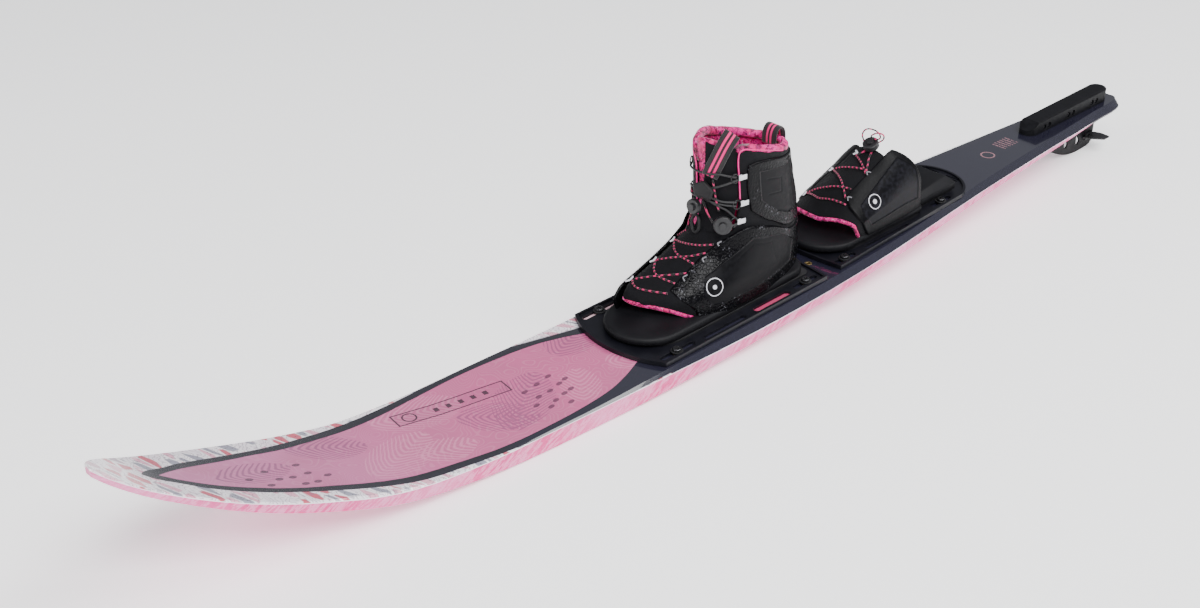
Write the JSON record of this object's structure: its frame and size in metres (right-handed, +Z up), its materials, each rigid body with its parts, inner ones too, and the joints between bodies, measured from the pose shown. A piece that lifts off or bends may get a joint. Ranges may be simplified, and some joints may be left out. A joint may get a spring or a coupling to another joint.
{
  "type": "slalom water ski",
  "caption": "Slalom water ski with a laced front boot, a rear toe binding on sliding plates and an adjustable finned tail.",
  "frame": {"origin": "on the floor under the middle of the box, with the ski resting on its fin and belly", "axes": "+X from tail to tip, +Y to the skier's left, +Z up"},
  "size_m": [1.6566, 0.1624, 0.2497],
  "materials": {
    "deck_gloss": "gloss, printed at the front",
    "base_pink": "satin gloss with brushed strokes",
    "foam_core": "light structural foam, sealed inside",
    "insert_brass": "turned",
    "screw_steel": "satin",
    "plate_gloss": "high gloss moulding",
    "frame_black": "matt",
    "footbed_foam": "matt closed-cell foam",
    "neoprene": "matt knit",
    "shell_black": "pebbled and smooth synthetic",
    "lace_cord": "black lace with pink flecks",
    "elastic_cord": "black elastic",
    "loop_webbing": "silver grey webbing",
    "ring_metal": "black coated wire",
    "lock_plastic": "moulded",
    "pull_webbing": "black webbing with pink stripes",
    "handle_rubber": "moulded",
    "fin_metal": "black anodised",
    "fin_block_plastic": "black anodised",
    "shoe_plastic": "moulded",
    "wing_plastic": "moulded"
  },
  "bodies": {
    "ski": {"base_shell": "base_pink", "foam_core": "foam_core", "deck_shell": "deck_gloss", "binding_inserts": "insert_brass", "spare_inserts": "insert_brass", "binding_screws": "screw_steel", "screw_washers": "screw_steel", "fin_block": "fin_block_plastic", "fin_set_screws": "screw_steel"},
    "front_binding": {"front_plate": "plate_gloss", "front_sole_frame": "frame_black", "front_frame_screws": "screw_steel", "front_footbed": "footbed_foam", "front_liner": "neoprene", "front_vamp": "neoprene", "front_tongue": "neoprene", "front_lateral_wrap": "shell_black", "front_medial_wrap": "shell_black", "front_lateral_cuff": "shell_black", "front_medial_cuff": "shell_black", "front_lower_lace": "lace_cord", "front_upper_cord": "elastic_cord", "front_lace_loops": "loop_webbing", "front_lace_rings": "ring_metal", "front_ring_tabs": "loop_webbing", "front_lower_lock": "lock_plastic", "front_upper_lock": "lock_plastic", "tongue_pull": "pull_webbing", "lace_handle": "handle_rubber", "heel_loop": "pull_webbing"},
    "front_lower_button": {"front_lower_button": "lock_plastic"},
    "front_upper_button": {"front_upper_button": "lock_plastic"},
    "rear_binding": {"rear_plate": "plate_gloss", "rear_sole_frame": "frame_black", "rear_frame_screws": "screw_steel", "rear_footbed": "footbed_foam", "rear_heel_pad": "footbed_foam", "rear_liner": "neoprene", "rear_vamp": "neoprene", "rear_lateral_wrap": "shell_black", "rear_medial_wrap": "shell_black", "rear_lace": "lace_cord", "rear_lace_loops": "loop_webbing", "rear_lock": "lock_plastic", "rear_lace_tail": "lace_cord"},
    "rear_button": {"rear_button": "lock_plastic"},
    "fin_shoe": {"fin_shoe": "shoe_plastic"},
    "fin": {"fin_blade": "fin_metal", "wing_bolt": "screw_steel"},
    "wing": {"wing": "wing_plastic"}
  },
  "joints": [
    {"name": "front_binding_slide", "type": "slide", "parent": "ski", "child": "front_binding", "axis": [0.9988, 0, -0.0498], "range_m": [-0.006, 0.014]},
    {"name": "rear_binding_slide", "type": "slide", "parent": "ski", "child": "rear_binding", "axis": [0.9988, 0, -0.0498], "range_m": [-0.011, 0.006]},
    {"name": "front_lower_lock_press", "type": "slide", "parent": "front_binding", "child": "front_lower_button", "axis": [-0.7184, -0.6879, -0.1035], "range_m": [0, 0.0018], "stiffness_N_per_m": 500},
    {"name": "front_upper_lock_press", "type": "slide", "parent": "front_binding", "child": "front_upper_button", "axis": [-0.9998, 0, -0.02], "range_m": [0, 0.0018], "stiffness_N_per_m": 500},
    {"name": "rear_lock_press", "type": "slide", "parent": "rear_binding", "child": "rear_button", "axis": [-0.4517, 0, -0.8922], "range_m": [0, 0.0018], "stiffness_N_per_m": 500},
    {"name": "fin_fore_aft", "type": "slide", "parent": "ski", "child": "fin_shoe", "axis": [0.9988, 0, -0.0498], "range_m": [-0.004, 0.004]},
    {"name": "fin_depth", "type": "slide", "parent": "fin_shoe", "child": "fin", "axis": [0.0498, 0, 0.9988], "range_m": [-0.0025, 0.0025]},
    {"name": "wing_tilt", "type": "hinge", "parent": "fin", "child": "wing", "pos_m": [-0.79049, 0, 0.01937], "axis": [0, 1, 0], "range_deg": [-8, 8]}
  ]
}
